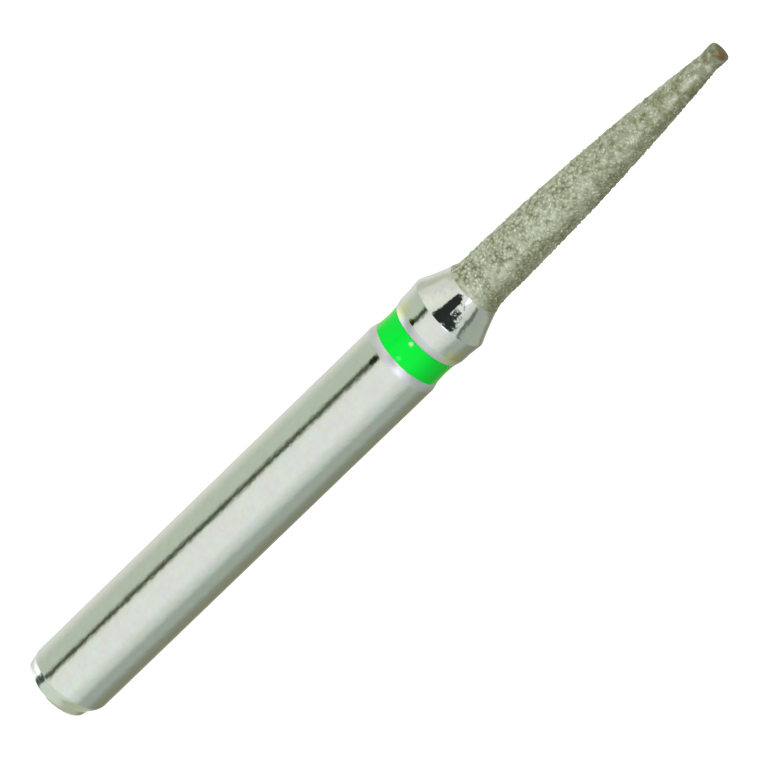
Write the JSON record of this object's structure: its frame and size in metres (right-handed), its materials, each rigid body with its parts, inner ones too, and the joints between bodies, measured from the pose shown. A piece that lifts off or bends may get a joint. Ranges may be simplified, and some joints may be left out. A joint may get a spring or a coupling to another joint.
{
  "type": "dental bur",
  "caption": "Slender friction-grip dental bur: plain round shank, green colour band, bright collar and neck, and a long tapered diamond-gritted end for grinding teeth.",
  "frame": {"origin": "on the shank's axis, at the flat end of the shank", "axes": "+Z along the bur, from the shank's end to the tip of the gritted end; the off-centre end spigot is shifted towards -X and -Y"},
  "size_m": [0.0016, 0.0016, 0.0179],
  "materials": {
    "bright_steel": "ground and polished, with fine turning marks round the shank",
    "diamond_grit": "rough, nickel-bonded grains of diamond",
    "green_enamel": "glossy enamel"
  },
  "bodies": {
    "root": {"steel_blank": "bright_steel", "diamond_grit": "diamond_grit", "colour_band": "green_enamel"}
  },
  "joints": []
}
